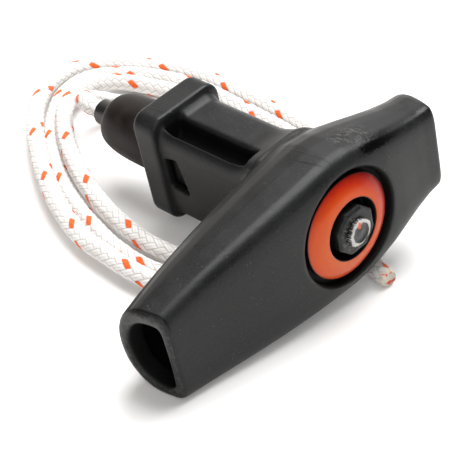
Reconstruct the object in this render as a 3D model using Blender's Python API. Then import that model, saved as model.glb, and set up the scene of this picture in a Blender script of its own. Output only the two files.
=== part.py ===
# Recoil starter handle: a hollow T-grip with an elastic damper, a rubber nose and a braided rope.
# Every solid is built in the handle's own frame: X runs along the bar, Y runs down the neck from
# the label, and Z is up. At the end the whole handle is leaned and set down on its rope.
import math

import bmesh
import bpy
from mathutils import Matrix, Vector

MM = 0.001

# Grip bar
LONG_ARM = 54.5 * MM
SHORT_ARM = 34.3 * MM
END_SLANT = 0.18
HUB_HALF_HEIGHT = 19.0 * MM
LONG_END_HALF_HEIGHT = 12.2 * MM
SHORT_END_HALF_HEIGHT = 11.9 * MM
HUB_FRONT = -1.2 * MM
END_FRONT = 0.8 * MM
HUB_BACK = 25.5 * MM
LONG_END_BACK = 16.2 * MM
SHORT_END_BACK = 18.8 * MM
HUB_CROWN = 8.5 * MM
END_CROWN = 6.8 * MM
HUB_FLAT = 11.0 * MM
FRONT_SQUARENESS = 6.0
BACK_SQUARENESS = 2.1
END_EDGE = 0.9 * MM

# Hollow arms
ARM_WALL = 2.3 * MM
LONG_POCKET_FLOOR = 16.9 * MM
SHORT_POCKET_FLOOR = 16.4 * MM
MOUTH_STEP = 0.6 * MM
MOUTH_DEPTH = 1.0 * MM

# Neck and collar
NECK_HALF_WIDTH = 10.0 * MM
NECK_HALF_HEIGHT = 13.8 * MM
NECK_CORNER = 5.0 * MM
FLARE_END = 28.0 * MM
FLARE_RADIUS = 10.0 * MM
FLARE_RISE = 3.0 * MM
COLLAR_HALF_WIDTH = 11.4 * MM
COLLAR_HALF_HEIGHT = 15.3 * MM
COLLAR_CORNER = 4.0 * MM
COLLAR_LIFT = 0.9 * MM
COLLAR_FRONT = 50.8 * MM
COLLAR_LENGTH = 7.8 * MM
COLLAR_EDGE = 0.8 * MM
COLLAR_RAMP = 3.0 * MM

# Channels cored out of the neck
CHANNEL_LEFT = -7.6 * MM
CHANNEL_RIGHT = -2.5 * MM
CHANNEL_START = 22.5 * MM
CHANNEL_WALL = 1.2 * MM
CHANNEL_END_WALL = 2.0 * MM

# Label recess, damper bore and nose socket, all turned about the rope
RECESS_RADIUS = 14.7 * MM
RECESS_FLOOR = 2.0 * MM
RECESS_EDGE = 0.6 * MM
BORE_RADIUS = 7.5 * MM
SHOULDER_START = 40.0 * MM
SHOULDER_THICKNESS = 2.0 * MM
SHOULDER_HOLE = 3.7 * MM
SOCKET_RADIUS = 7.9 * MM

# Snap windows in the neck and the lugs of the nose
WINDOW_START = 45.2 * MM
WINDOW_LENGTH = 5.0 * MM
WINDOW_BOTTOM = -3.4 * MM
WINDOW_TOP = 6.6 * MM
WINDOW_SLANT = 1.6 * MM
LUG_REACH = 8.3 * MM
LUG_CLEARANCE = 0.5 * MM

# Label ring
LABEL_RADIUS = 13.2 * MM
LABEL_HOLE = 7.75 * MM
LABEL_DOME = 1.85 * MM
LABEL_EDGE = 0.3 * MM

# Rope anchor, washer and damper
ANCHOR_FACE = -3.0 * MM
ANCHOR_HEAD = 8.0 * MM
ANCHOR_ACROSS = 11.6 * MM
ANCHOR_SIDES = 8
ANCHOR_FLANGE_RADIUS = 7.1 * MM
ANCHOR_FLANGE = 2.4 * MM
WASHER_THICKNESS = 1.5 * MM
DAMPER_RADIUS = 6.9 * MM
DAMPER_GROOVE = 0.8 * MM
DAMPER_RIBS = 4

# Nose and guide tip
NOSE_RADIUS = 8.6 * MM
NOSE_STRAIGHT = 9.1 * MM
NOSE_LENGTH = 20.9 * MM
NOSE_END_RADIUS = 6.6 * MM
TIP_RADIUS = 3.5 * MM
TIP_REACH = 7.0 * MM
TIP_DEPTH = 9.5 * MM

# Rope
ROPE_DIAMETER = 5.0 * MM
KNOB_RADIUS = 3.7 * MM
KNOB_HEIGHT = 1.5 * MM
ROPE_CLEARANCE = 0.35 * MM
GAP = 0.3 * MM
ROPE_STEP = 12.5 * MM
ROPE_EXIT = 7.0 * MM

# Rest pose: the handle rocks towards its long arm and leans back over its nose
ROCK = math.radians(11.0)
LEAN = math.radians(4.2)

ROUND_STEPS = 40
QUARTER_STEPS = 8

# Route of the free rope on the floor in millimetres, from the guide tip to its cut end.
# It leaves the tip, turns down to the floor, runs three turns under the neck and round the
# nose, each outside the last, and ends under the front of the hub.
ROPE_ROUTE = (
    (13.5, 58.5, 13.5), (20.5, 62.5, 9.0), (28.5, 61.5, 5.0), (35.3, 56.5, 2.9),
    (40.3, 47.0, 2.6), (42.6, 34.0, 2.6), (42.3, 15.0, 2.6), (37.5, -1.0, 2.6),
    (27.0, -8.6, 2.6), (6.0, -10.2, 2.6), (-1.2, -9.5, 2.9), (-7.7, -5.7, 4.0),
    (-10.7, 1.6, 4.9), (-10.6, 12.0, 5.0), (-8.9, 24.0, 5.6), (-4.5, 38.2, 6.4),
    (2.3, 51.8, 6.4), (8.0, 60.4, 6.8), (15.2, 68.6, 6.6), (23.8, 74.0, 5.6),
    (32.7, 75.4, 4.2), (39.3, 72.2, 3.2), (44.2, 65.0, 2.6), (47.8, 56.0, 2.6),
    (48.6, 42.0, 2.6), (47.9, 15.0, 2.6), (42.0, -5.6, 2.6), (27.0, -14.2, 2.6),
    (6.0, -15.5, 2.6), (-4.0, -14.9, 2.6), (-12.2, -10.4, 2.6), (-15.9, -0.8, 2.6),
    (-16.0, 12.0, 2.6), (-15.0, 18.0, 2.6), (-11.9, 29.6, 2.6), (-6.3, 44.3, 2.6),
    (1.6, 57.6, 2.6), (6.8, 64.8, 2.6), (14.4, 72.5, 2.6), (23.6, 79.4, 2.6),
    (33.2, 81.4, 2.6), (41.4, 77.8, 2.6), (49.4, 67.4, 2.6), (53.5, 56.0, 2.6),
    (54.2, 42.0, 2.6), (53.4, 15.0, 2.6), (46.2, -9.2, 2.6), (27.0, -19.8, 2.6),
    (6.0, -20.8, 2.55), (-6.6, -20.1, 2.6), (-16.9, -13.7, 3.2), (-20.8, -1.5, 4.4),
    (-21.1, 9.0, 4.6), (-20.6, 18.0, 4.4), (-17.2, 30.7, 5.0), (-11.2, 44.4, 5.6),
    (-3.5, 57.6, 5.8), (2.4, 66.2, 5.6), (11.5, 76.6, 5.2), (22.6, 84.5, 4.5),
    (33.5, 86.8, 3.8), (43.2, 83.3, 3.0), (54.5, 70.6, 2.6), (58.9, 58.5, 2.6),
    (60.0, 45.0, 2.6), (59.8, 25.3, 2.6), (58.7, 8.0, 2.6), (53.0, -10.5, 2.6),
    (43.6, -23.2, 2.6), (34.2, -30.4, 2.6), (27.8, -36.0, 2.6),
    (25.4, -40.4, 2.6), (24.8, -46.0, 2.6),
)


def material(name, colour, roughness):
    """A plain Principled material."""
    made = bpy.data.materials.new(name)
    made.use_nodes = True
    shader = made.node_tree.nodes["Principled BSDF"]
    shader.inputs["Base Color"].default_value = (*colour, 1.0)
    shader.inputs["Roughness"].default_value = roughness
    return made


def add_object(name, points, faces, smooth=True):
    """Make one closed body with its faces turned outwards."""
    mesh = bpy.data.meshes.new(name)
    mesh.from_pydata(points, [], faces)
    cleaner = bmesh.new()
    cleaner.from_mesh(mesh)
    bmesh.ops.recalc_face_normals(cleaner, faces=cleaner.faces)
    cleaner.to_mesh(mesh)
    cleaner.free()
    for face in mesh.polygons:
        face.use_smooth = smooth
    made = bpy.data.objects.new(name, mesh)
    bpy.context.collection.objects.link(made)
    return made


def loft(name, rings, smooth=True):
    """Join rings of equal length into a solid, closed by its first and last ring."""
    count = len(rings[0])
    points = [point for ring in rings for point in ring]
    faces = []
    for level in range(len(rings) - 1):
        for step in range(count):
            after = (step + 1) % count
            lower = level * count
            upper = lower + count
            faces.append((lower + step, lower + after, upper + after, upper + step))
    last = (len(rings) - 1) * count
    faces.append(tuple(range(count)))
    faces.append(tuple(range(last, last + count)))
    return add_object(name, points, faces, smooth)


def turned(name, profile, steps=ROUND_STEPS):
    """Turn a closed profile of (radius, y) pairs about the rope's axis.

    A pair on the axis becomes one point, so a solid bar closes without a hole.
    """
    points = []
    rows = []
    for radius, y in profile:
        if radius == 0.0:
            rows.append([len(points)] * steps)
            points.append((0.0, y, 0.0))
            continue
        rows.append(list(range(len(points), len(points) + steps)))
        for step in range(steps):
            angle = 2.0 * math.pi * step / steps
            points.append((radius * math.cos(angle), y, radius * math.sin(angle)))
    faces = []
    for index, row in enumerate(rows):
        other = rows[(index + 1) % len(rows)]
        for step in range(steps):
            after = (step + 1) % steps
            corners = (row[step], row[after], other[after], other[step])
            distinct = tuple(dict.fromkeys(corners))
            if len(distinct) > 2:
                faces.append(distinct)
    return add_object(name, points, faces)


def cut_or_join(target, tool, operation):
    """Add an exact boolean to the target and keep its tool as a hidden guide."""
    step = target.modifiers.new(tool.name, "BOOLEAN")
    step.operation = operation
    step.solver = "EXACT"
    step.object = tool
    tool.hide_render = True
    tool.display_type = "WIRE"


def smoothstep(value):
    """Ease from 0 to 1 with level ends."""
    value = min(max(value, 0.0), 1.0)
    return value * value * (3.0 - 2.0 * value)


def soft_d(x, half_height, front, crown, back, slant):
    """One ring of the bar: a soft letter D, flat at the front and round at the back.

    Two superellipse quarters meet at the crown, |z/h|^n + |(y - crown)/depth|^n = 1, with a
    high power towards the front and a low one towards the back.
    """
    half = []
    for squareness, depth, sign in (
        (FRONT_SQUARENESS, crown - front, -1.0),
        (BACK_SQUARENESS, back - crown, 1.0),
    ):
        quarter = []
        for step in range(QUARTER_STEPS + 1):
            angle = 0.5 * math.pi * step / QUARTER_STEPS
            along = math.cos(angle) ** (2.0 / squareness)
            up = math.sin(angle) ** (2.0 / squareness)
            quarter.append((crown + sign * depth * along, half_height * up))
        half += quarter if sign < 0.0 else quarter[-2::-1]
    outline = half + [(y, -z) for y, z in half[-2:0:-1]]
    return [(x + slant * (y - END_FRONT), y, z) for y, z in outline]


def bar_shape(x):
    """Half height, front, crown and back of the bar at a place along it."""
    if x < 0.0:
        left = 1.0 + x / LONG_ARM
        rise = left * (1.5 - 0.5 * left)
        half_height = LONG_END_HALF_HEIGHT + (HUB_HALF_HEIGHT - LONG_END_HALF_HEIGHT) * rise
        back = LONG_END_BACK + (HUB_BACK - LONG_END_BACK) * rise
        reach = LONG_ARM
    else:
        rise = smoothstep(1.0 - x / SHORT_ARM)
        half_height = SHORT_END_HALF_HEIGHT + (HUB_HALF_HEIGHT - SHORT_END_HALF_HEIGHT) * rise
        back = SHORT_END_BACK + (HUB_BACK - SHORT_END_BACK) * rise
        reach = SHORT_ARM
    sweep = smoothstep((abs(x) - HUB_FLAT) / (reach - HUB_FLAT))
    front = HUB_FRONT + (END_FRONT - HUB_FRONT) * sweep
    crown = END_CROWN + (HUB_CROWN - END_CROWN) * rise
    return half_height, front, crown, back


def bar_ring(x, inset):
    """The bar's ring at x, shrunk by an inset, sheared where an arm end slants."""
    half_height, front, crown, back = bar_shape(x)
    reach = LONG_ARM if x < 0.0 else SHORT_ARM
    lean = math.copysign(END_SLANT * smoothstep(abs(x) / reach), x)
    return soft_d(x, half_height - inset, front + inset, crown, back - inset, lean)


def build_bar():
    """Loft the bar from one open arm end to the other, with a rounded lip at each end."""
    rings = [bar_ring(-LONG_ARM, END_EDGE)]
    rings.append(bar_ring(-LONG_ARM + 0.3 * END_EDGE, 0.3 * END_EDGE))
    stations = [-LONG_ARM + END_EDGE]
    stations += [-LONG_ARM * (1.0 - step / 9.0) for step in range(1, 9)]
    stations += [0.0]
    stations += [SHORT_ARM * step / 7.0 for step in range(1, 7)]
    stations += [SHORT_ARM - END_EDGE]
    rings += [bar_ring(x, 0.0) for x in stations]
    rings.append(bar_ring(SHORT_ARM - 0.3 * END_EDGE, 0.3 * END_EDGE))
    rings.append(bar_ring(SHORT_ARM, END_EDGE))
    return loft("grip_body", rings)


def build_pocket(name, reach, floor, side):
    """The hollow of one arm: it follows the bar one wall inside it and steps out at its mouth."""
    over = 4.0 * MM
    mouth_wall = ARM_WALL - MOUTH_STEP
    rings = [bar_ring(side * reach, mouth_wall)]
    rings.append(bar_ring(side * (reach - MOUTH_DEPTH), mouth_wall))
    rings.append(bar_ring(side * (reach - MOUTH_DEPTH), ARM_WALL))
    steps = 5
    inner = reach - MOUTH_DEPTH
    for step in range(1, steps):
        rings.append(bar_ring(side * (inner + (floor + 1.0 * MM - inner) * step / steps), ARM_WALL))
    rings.append(upright(bar_ring(side * (floor + 1.0 * MM), ARM_WALL), side * (floor + 1.0 * MM)))
    rings.append(upright(bar_ring(side * floor, ARM_WALL + 1.0 * MM), side * floor))
    outside = [(x + side * over, y, z) for x, y, z in rings[0]]
    return loft(name, [outside] + rings)


def upright(ring, x):
    """Set a ring square to the bar, as the pockets' floors are."""
    return [(x, y, z) for _, y, z in ring]


def rounded_box_ring(half_width, half_height, corner, y, lift=0.0, spread=0.0):
    """One ring of the neck or collar: a rectangle with round corners, square to the rope.

    The spread widens it on the short arm's side only, and makes its corners there rounder.
    """
    corners = ((1.0, 1.0, 0.0), (-1.0, 1.0, 0.5), (-1.0, -1.0, 1.0), (1.0, -1.0, 1.5))
    ring = []
    steps = 6
    for side_x, side_z, turn in corners:
        wider = max(side_x, 0.0) * spread
        radius = corner + wider
        for step in range(steps + 1):
            angle = math.pi * (turn + 0.5 * step / steps)
            x = side_x * (half_width + wider - radius) + radius * math.cos(angle)
            z = side_z * (half_height - radius) + radius * math.sin(angle)
            ring.append((x, y, z + lift))
    return ring


def build_neck():
    """The neck flares into the short arm along a quarter circle and rises to meet the bar's top.

    On the long arm's side it stays flat and meets the bar's round back in a crease.
    """
    start = FLARE_END - 0.85 * FLARE_RADIUS
    rings = []
    steps = 7
    for step in range(steps + 1):
        y = start + (FLARE_END - start) * step / steps
        run = FLARE_END - y
        spread = FLARE_RADIUS - math.sqrt(FLARE_RADIUS ** 2 - run ** 2)
        rise = FLARE_RISE * (run / FLARE_RADIUS) ** 2
        half_height = NECK_HALF_HEIGHT + rise
        ring = rounded_box_ring(NECK_HALF_WIDTH, half_height, NECK_CORNER, y, spread=spread)
        rings.append(ring)
    foot = rounded_box_ring(NECK_HALF_WIDTH, NECK_HALF_HEIGHT, NECK_CORNER, HUB_CROWN)
    head = [(x, COLLAR_FRONT + 0.5 * COLLAR_LENGTH, z) for x, _, z in rings[-1]]
    return loft("neck_block", [foot] + rings + [head])


def build_collar():
    """The collar at the end of the neck, with softened edges."""
    rings = []
    for inset, y in (
        (COLLAR_EDGE, COLLAR_FRONT),
        (0.3 * COLLAR_EDGE, COLLAR_FRONT + 0.3 * COLLAR_EDGE),
        (0.0, COLLAR_FRONT + COLLAR_EDGE),
        (0.0, COLLAR_FRONT + COLLAR_LENGTH - COLLAR_EDGE),
        (0.3 * COLLAR_EDGE, COLLAR_FRONT + COLLAR_LENGTH - 0.3 * COLLAR_EDGE),
        (COLLAR_EDGE, COLLAR_FRONT + COLLAR_LENGTH),
    ):
        rings.append(
            rounded_box_ring(
                COLLAR_HALF_WIDTH - inset,
                COLLAR_HALF_HEIGHT - inset,
                COLLAR_CORNER - inset,
                y,
                COLLAR_LIFT,
            )
        )
    return loft("collar_block", rings)


def build_ramp():
    """The ramp that carries the top and bottom of the neck up to the collar."""
    rings = []
    low = NECK_HALF_HEIGHT - GAP
    high = COLLAR_HALF_HEIGHT - COLLAR_EDGE
    for share, y in (
        (0.0, COLLAR_FRONT - COLLAR_RAMP),
        (0.3, COLLAR_FRONT - 0.5 * COLLAR_RAMP),
        (1.0, COLLAR_FRONT + 0.5 * COLLAR_EDGE),
    ):
        rings.append(
            rounded_box_ring(
                NECK_HALF_WIDTH - GAP,
                low + (high - low) * share,
                COLLAR_CORNER,
                y,
                share * COLLAR_LIFT,
            )
        )
    return loft("collar_ramp", rings)


def build_channel(name, side):
    """A channel cored out of the neck and collar beside the bore, opening up or down.

    Its floor follows the bore and the nose socket at an even wall.
    """
    floor_radius = SOCKET_RADIUS + CHANNEL_WALL
    top = NECK_HALF_HEIGHT + FLARE_RISE + 8.0 * MM
    end = COLLAR_FRONT + COLLAR_LENGTH - CHANNEL_END_WALL
    width = CHANNEL_RIGHT - CHANNEL_LEFT
    floor_line = []
    for step in range(7):
        share = step / 6.0
        x = CHANNEL_LEFT + width * share
        fillet = 1.2 * MM * (2.0 * share - 1.0) ** 6
        floor_line.append((x, math.sqrt(floor_radius ** 2 - x ** 2) + fillet))
    edge_line = [
        (CHANNEL_RIGHT + 0.1 * MM, NECK_HALF_HEIGHT - 1.0 * MM),
        (CHANNEL_RIGHT + 0.6 * MM, NECK_HALF_HEIGHT),
        (CHANNEL_RIGHT + 1.0 * MM, top),
    ]
    rings = []
    for y, lift in (
        (CHANNEL_START, 4.0 * MM),
        (CHANNEL_START + 1.0 * MM, 2.0 * MM),
        (CHANNEL_START + 3.0 * MM, 0.5 * MM),
        (CHANNEL_START + 5.0 * MM, 0.0),
        (end - 0.6 * MM, 0.0),
        (end, 0.8 * MM),
    ):
        ring = [(CHANNEL_LEFT - 0.4 * MM, y, side * top)]
        for x, z in floor_line + edge_line:
            ring.append((x, y, side * min(z + lift, top)))
        rings.append(ring)
    return loft(name, rings, smooth=False)


def build_window(name, side):
    """A snap window through one side of the socket, a leaning four-sided hole."""
    near = WINDOW_START
    far = WINDOW_START + WINDOW_LENGTH
    corners = (
        (near - WINDOW_SLANT, WINDOW_BOTTOM),
        (far, WINDOW_BOTTOM + 0.4 * WINDOW_SLANT),
        (far, WINDOW_TOP - 0.6 * WINDOW_SLANT),
        (near + 0.6 * WINDOW_SLANT, WINDOW_TOP),
    )
    reach = NECK_HALF_WIDTH + 3.0 * MM
    inside = 0.5 * SOCKET_RADIUS
    rings = [[(side * x, y, z) for y, z in corners] for x in (inside, reach)]
    return loft(name, rings, smooth=False)


def build_grip():
    """The whole grip moulding."""
    grip = build_bar()
    cut_or_join(grip, build_neck(), "UNION")
    cut_or_join(grip, build_ramp(), "UNION")
    cut_or_join(grip, build_collar(), "UNION")
    cut_or_join(grip, build_channel("upper_channel", 1.0), "DIFFERENCE")
    cut_or_join(grip, build_channel("lower_channel", -1.0), "DIFFERENCE")
    front = HUB_FRONT - 6.0 * MM
    back = COLLAR_FRONT + COLLAR_LENGTH + 4.0 * MM
    shoulder_end = SHOULDER_START + SHOULDER_THICKNESS
    bore = turned(
        "rope_bore",
        [
            (0.0, front),
            (RECESS_RADIUS + RECESS_EDGE, front),
            (RECESS_RADIUS + RECESS_EDGE, HUB_FRONT),
            (RECESS_RADIUS, HUB_FRONT + RECESS_EDGE),
            (RECESS_RADIUS, RECESS_FLOOR),
            (BORE_RADIUS, RECESS_FLOOR),
            (BORE_RADIUS, SHOULDER_START),
            (SHOULDER_HOLE, SHOULDER_START),
            (SHOULDER_HOLE, shoulder_end),
            (SOCKET_RADIUS, shoulder_end),
            (SOCKET_RADIUS, back),
            (0.0, back),
        ],
        steps=ROUND_STEPS + 8,
    )
    cut_or_join(grip, bore, "DIFFERENCE")
    long_pocket = build_pocket("long_arm_pocket", LONG_ARM, LONG_POCKET_FLOOR, -1.0)
    short_pocket = build_pocket("short_arm_pocket", SHORT_ARM, SHORT_POCKET_FLOOR, 1.0)
    cut_or_join(grip, long_pocket, "DIFFERENCE")
    cut_or_join(grip, short_pocket, "DIFFERENCE")
    cut_or_join(grip, build_window("left_snap_window", -1.0), "DIFFERENCE")
    cut_or_join(grip, build_window("right_snap_window", 1.0), "DIFFERENCE")
    grip.data.materials.append(material("black_plastic", (0.045, 0.047, 0.05), 0.45))
    return grip


def build_label():
    """The domed label ring in the recess."""
    back = RECESS_FLOOR - GAP
    profile = [(LABEL_RADIUS, back)]
    steps = 6
    for step in range(steps + 1):
        inwards = step / steps
        radius = LABEL_RADIUS - LABEL_EDGE - (LABEL_RADIUS - LABEL_HOLE - 2.0 * LABEL_EDGE) * inwards
        height = LABEL_DOME * math.sin(0.5 * math.pi * inwards)
        if step == 0:
            profile.append((LABEL_RADIUS, LABEL_EDGE))
        profile.append((radius, -height))
    profile.append((LABEL_HOLE, LABEL_EDGE - LABEL_DOME))
    profile.append((LABEL_HOLE, back))
    label = turned("label_ring", profile, steps=48)
    label.data.materials.append(material("orange_label", (0.75, 0.12, 0.03), 0.4))
    return label


def build_anchor():
    """The rope anchor: an eight-sided head on a round flange, bored for the rope."""
    hole = 0.5 * ROPE_DIAMETER + ROPE_CLEARANCE
    flange_end = ANCHOR_FACE + ANCHOR_HEAD + ANCHOR_FLANGE
    apothem = 0.5 * ANCHOR_ACROSS
    steps = 5 * ANCHOR_SIDES
    rows = []
    for outside, y in (
        (None, ANCHOR_FACE),
        (True, ANCHOR_FACE + 0.6 * MM),
        (True, ANCHOR_FACE + ANCHOR_HEAD),
        (False, ANCHOR_FACE + ANCHOR_HEAD),
        (False, flange_end),
    ):
        ring = []
        for step in range(steps):
            angle = 2.0 * math.pi * step / steps
            wedge = 2.0 * math.pi / ANCHOR_SIDES
            off_face = (angle + 0.5 * wedge) % wedge - 0.5 * wedge
            radius = apothem / math.cos(off_face)
            if outside is None:
                radius -= 0.6 * MM
            if outside is False:
                radius = ANCHOR_FLANGE_RADIUS
            ring.append((radius * math.cos(angle), y, radius * math.sin(angle)))
        rows.append(ring)
    for y in (flange_end, ANCHOR_FACE):
        ring = []
        for step in range(steps):
            angle = 2.0 * math.pi * step / steps
            ring.append((hole * math.cos(angle), y, hole * math.sin(angle)))
        rows.append(ring)
    points = [point for ring in rows for point in ring]
    faces = []
    for level in range(len(rows)):
        upper = (level + 1) % len(rows) * steps
        for step in range(steps):
            after = (step + 1) % steps
            lower = level * steps
            faces.append((lower + step, lower + after, upper + after, upper + step))
    anchor = add_object("rope_anchor", points, faces, smooth=False)
    anchor.data.materials.append(material("anchor_plastic", (0.07, 0.07, 0.075), 0.4))
    return anchor


def build_washer(start):
    """The pressure washer between the anchor and the damper."""
    hole = 0.5 * ROPE_DIAMETER + ROPE_CLEARANCE
    end = start + WASHER_THICKNESS
    washer = turned(
        "pressure_washer",
        [
            (hole, start),
            (ANCHOR_FLANGE_RADIUS, start),
            (ANCHOR_FLANGE_RADIUS, end),
            (hole, end),
        ],
    )
    washer.data.materials.append(material("washer_steel", (0.55, 0.55, 0.56), 0.35))
    return washer


def build_damper(start):
    """The elastic sleeve that the washer squeezes against the bore's shoulder."""
    hole = 0.5 * ROPE_DIAMETER + 2.0 * ROPE_CLEARANCE
    end = SHOULDER_START - GAP
    pitch = (end - start) / DAMPER_RIBS
    profile = [(hole, end), (hole, start)]
    for rib in range(DAMPER_RIBS):
        for share, radius in (
            (0.0, DAMPER_RADIUS - DAMPER_GROOVE),
            (0.2, DAMPER_RADIUS),
            (0.8, DAMPER_RADIUS),
        ):
            profile.append((radius, start + pitch * (rib + share)))
    profile.append((DAMPER_RADIUS - DAMPER_GROOVE, end))
    damper = turned("damper_sleeve", profile)
    damper.data.materials.append(material("damper_rubber", (0.03, 0.03, 0.03), 0.7))
    return damper


def nose_radius(run):
    """Radius of the nose at a run past the collar: straight, then a quarter-ellipse ogive."""
    if run <= NOSE_STRAIGHT:
        return NOSE_RADIUS
    share = (run - NOSE_STRAIGHT) / (NOSE_LENGTH - NOSE_STRAIGHT)
    return NOSE_END_RADIUS + (NOSE_RADIUS - NOSE_END_RADIUS) * math.sqrt(1.0 - share ** 2)


def build_nose():
    """The rubber nose: a shank in the socket with two snap lugs, and an ogive past the collar."""
    shank_start = SHOULDER_START + SHOULDER_THICKNESS + GAP
    outside = COLLAR_FRONT + COLLAR_LENGTH + GAP
    tip = outside + NOSE_LENGTH
    hole = 0.5 * ROPE_DIAMETER + 2.0 * ROPE_CLEARANCE
    tip_hole = TIP_RADIUS + GAP
    shank = SOCKET_RADIUS - GAP
    profile = [(hole, shank_start), (shank, shank_start), (shank, outside)]
    profile.append((NOSE_RADIUS - 0.5 * MM, outside))
    profile.append((NOSE_RADIUS, outside + 0.5 * MM))
    steps = 8
    for step in range(steps + 1):
        run = NOSE_STRAIGHT + (NOSE_LENGTH - NOSE_STRAIGHT) * math.sin(0.5 * math.pi * step / steps)
        profile.append((nose_radius(run), outside + run))
    profile.append((tip_hole, tip))
    profile.append((tip_hole, tip - TIP_DEPTH - GAP))
    profile.append((hole, tip - TIP_DEPTH - GAP))
    nose = turned("nose_sleeve", profile)
    for side, name in ((-1.0, "left_lug"), (1.0, "right_lug")):
        near = WINDOW_START + LUG_CLEARANCE
        far = WINDOW_START + WINDOW_LENGTH - LUG_CLEARANCE
        low = WINDOW_BOTTOM + 2.0 * LUG_CLEARANCE
        high = WINDOW_TOP - 2.0 * LUG_CLEARANCE - 0.6 * WINDOW_SLANT
        corners = ((near, low), (far, low), (far, high), (near + 0.6 * WINDOW_SLANT, high))
        inside = hole + 2.0 * MM
        rings = [[(side * x, y, z) for y, z in corners] for x in (inside, LUG_REACH)]
        cut_or_join(nose, loft(name, rings, smooth=False), "UNION")
    nose.data.materials.append(material("nose_rubber", (0.035, 0.028, 0.025), 0.6))
    return nose


def build_tip():
    """The guide tip: a short tube pressed into the nose."""
    end = COLLAR_FRONT + COLLAR_LENGTH + GAP + NOSE_LENGTH
    hole = 0.5 * ROPE_DIAMETER + ROPE_CLEARANCE
    tip = turned(
        "guide_tip",
        [
            (hole, end - TIP_DEPTH),
            (TIP_RADIUS, end - TIP_DEPTH),
            (TIP_RADIUS, end + TIP_REACH - 0.4 * MM),
            (TIP_RADIUS - 0.3 * MM, end + TIP_REACH),
            (hole, end + TIP_REACH),
        ],
    )
    tip.data.materials.append(material("tip_plastic", (0.02, 0.02, 0.022), 0.35))
    return tip


def build_inner_rope():
    """The rope inside the handle, with the melted knob that holds it in the anchor."""
    radius = 0.5 * ROPE_DIAMETER
    knob = ANCHOR_FACE - GAP
    end = COLLAR_FRONT + COLLAR_LENGTH + GAP + NOSE_LENGTH + TIP_REACH - 2.0 * MM
    rope = turned(
        "inner_rope",
        [
            (0.0, knob - KNOB_HEIGHT),
            (0.7 * KNOB_RADIUS, knob - 0.85 * KNOB_HEIGHT),
            (KNOB_RADIUS, knob - 0.35 * KNOB_HEIGHT),
            (KNOB_RADIUS, knob),
            (radius, knob),
            (radius, end),
            (0.0, end),
        ],
        steps=24,
    )
    rope.data.materials.append(material("inner_braid", (0.85, 0.84, 0.82), 0.8))
    return rope, end


def smooth_path(route, step):
    """Points a step apart on a centripetal Catmull-Rom curve through the route."""
    knots = [2.0 * route[0] - route[1]] + route + [2.0 * route[-1] - route[-2]]
    dense = [route[0]]
    for first, second, third, fourth in zip(knots, knots[1:], knots[2:], knots[3:]):
        time_1 = (second - first).length ** 0.5
        time_2 = time_1 + (third - second).length ** 0.5
        time_3 = time_2 + (fourth - third).length ** 0.5
        for part in range(1, 25):
            now = time_1 + (time_2 - time_1) * part / 24.0
            low = first.lerp(second, now / time_1)
            middle = second.lerp(third, (now - time_1) / (time_2 - time_1))
            high = third.lerp(fourth, (now - time_2) / (time_3 - time_2))
            left = low.lerp(middle, now / time_2)
            right = middle.lerp(high, (now - time_1) / (time_3 - time_1))
            dense.append(left.lerp(right, (now - time_1) / (time_2 - time_1)))
    length = sum((after - before).length for before, after in zip(dense, dense[1:]))
    count = max(2, round(length / step))
    spacing = length / count
    points = [dense[0]]
    travelled = 0.0
    for before, after in zip(dense, dense[1:]):
        run = (after - before).length
        while len(points) < count and travelled + run >= spacing * len(points):
            share = (spacing * len(points) - travelled) / run
            points.append(before.lerp(after, share))
        travelled += run
    points.append(dense[-1])
    return points


def build_free_rope(place, start):
    """The free rope, a round tube from the end of the inner rope to its melted end."""
    exit_point = place @ Vector((0.0, start, 0.0))
    straight = place @ Vector((0.0, start + ROPE_EXIT, 0.0))
    route = [exit_point, straight] + [Vector(point) * MM for point in ROPE_ROUTE]
    curve = bpy.data.curves.new("starter_rope", "CURVE")
    curve.dimensions = "3D"
    curve.bevel_depth = 0.5 * ROPE_DIAMETER
    curve.bevel_resolution = 3
    curve.use_fill_caps = True
    points = [exit_point] + smooth_path(route[1:], ROPE_STEP)
    spline = curve.splines.new("POLY")
    spline.points.add(len(points) - 1)
    for target, point in zip(spline.points, points):
        target.co = (*(place.inverted() @ point), 1.0)
    rope = bpy.data.objects.new("starter_rope", curve)
    bpy.context.collection.objects.link(rope)
    rope.matrix_world = place
    rope.data.materials.append(material("braided_rope", (0.85, 0.84, 0.82), 0.8))
    return rope


def set_down(handle):
    """Lean the handle as it lies, centre it over the origin and set it on the floor."""
    pose = Matrix.Rotation(-LEAN, 4, "X") @ Matrix.Rotation(-ROCK, 4, "Y")
    bpy.context.view_layer.update()
    graph = bpy.context.evaluated_depsgraph_get()
    corners = []
    for piece in handle:
        shape = piece.evaluated_get(graph).to_mesh()
        corners += [pose @ vertex.co for vertex in shape.vertices]
    low = Vector([min(corner[axis] for corner in corners) for axis in range(3)])
    high = Vector([max(corner[axis] for corner in corners) for axis in range(3)])
    middle = 0.5 * (low + high)
    place = Matrix.Translation((-middle.x, -middle.y, -low.z)) @ pose
    for piece in handle:
        piece.matrix_world = place
    return place


def build_handle():
    """Make every piece of the handle and set it down."""
    for old in list(bpy.data.objects):
        bpy.data.objects.remove(old, do_unlink=True)
    grip = build_grip()
    guides = [step.object for step in grip.modifiers]
    label = build_label()
    anchor = build_anchor()
    washer_start = ANCHOR_FACE + ANCHOR_HEAD + ANCHOR_FLANGE + GAP
    washer = build_washer(washer_start)
    damper = build_damper(washer_start + WASHER_THICKNESS + GAP)
    nose = build_nose()
    guides += [step.object for step in nose.modifiers]
    tip = build_tip()
    inner, inner_end = build_inner_rope()
    place = set_down([grip, label, anchor, washer, damper, nose, tip, inner])
    for guide in guides:
        guide.matrix_world = place
    build_free_rope(place, inner_end + GAP)


build_handle()
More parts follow.
